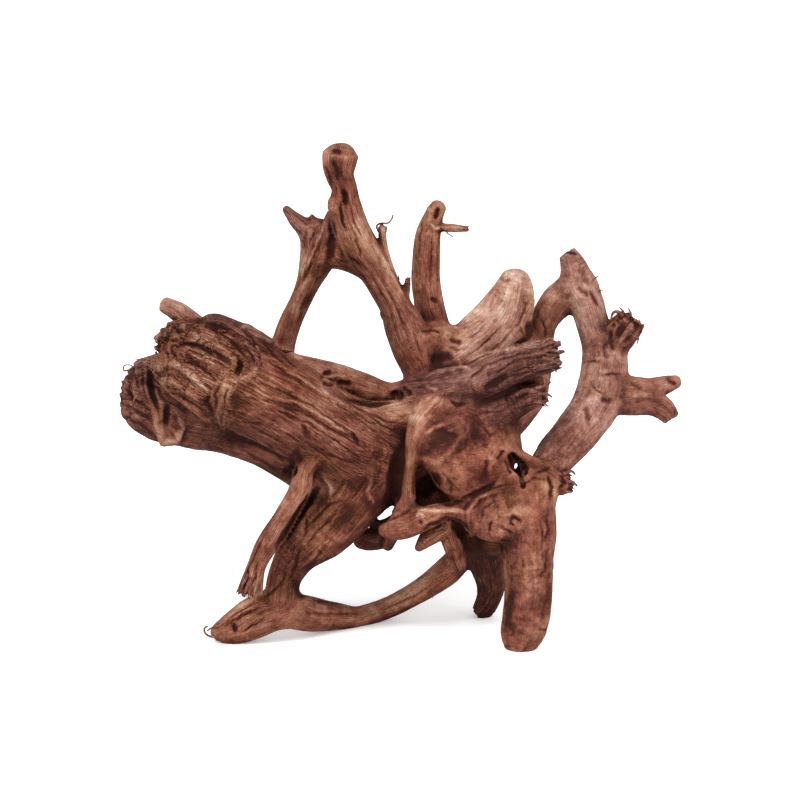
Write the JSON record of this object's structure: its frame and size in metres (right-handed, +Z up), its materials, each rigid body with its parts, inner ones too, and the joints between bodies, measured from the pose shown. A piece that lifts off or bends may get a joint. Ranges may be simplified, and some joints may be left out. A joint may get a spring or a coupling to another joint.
{
  "type": "mangrove root",
  "caption": "Gnarled mangrove driftwood root: a thick split trunk stub with ragged ends, fused twisting limbs, an open ring and arching root legs it stands on.",
  "frame": {"origin": "middle of the root's box on the ground it stands on", "axes": "+X to the right as pictured, +Y away from the camera, +Z up; the trunk stub points to -X and slightly towards -Y"},
  "size_m": [0.5661, 0.2656, 0.5045],
  "materials": {
    "root_wood": "dry matt red-brown wood with darker torn ends and paler worn limbs"
  },
  "bodies": {
    "root": {"mangrove_root": "root_wood"}
  },
  "joints": []
}
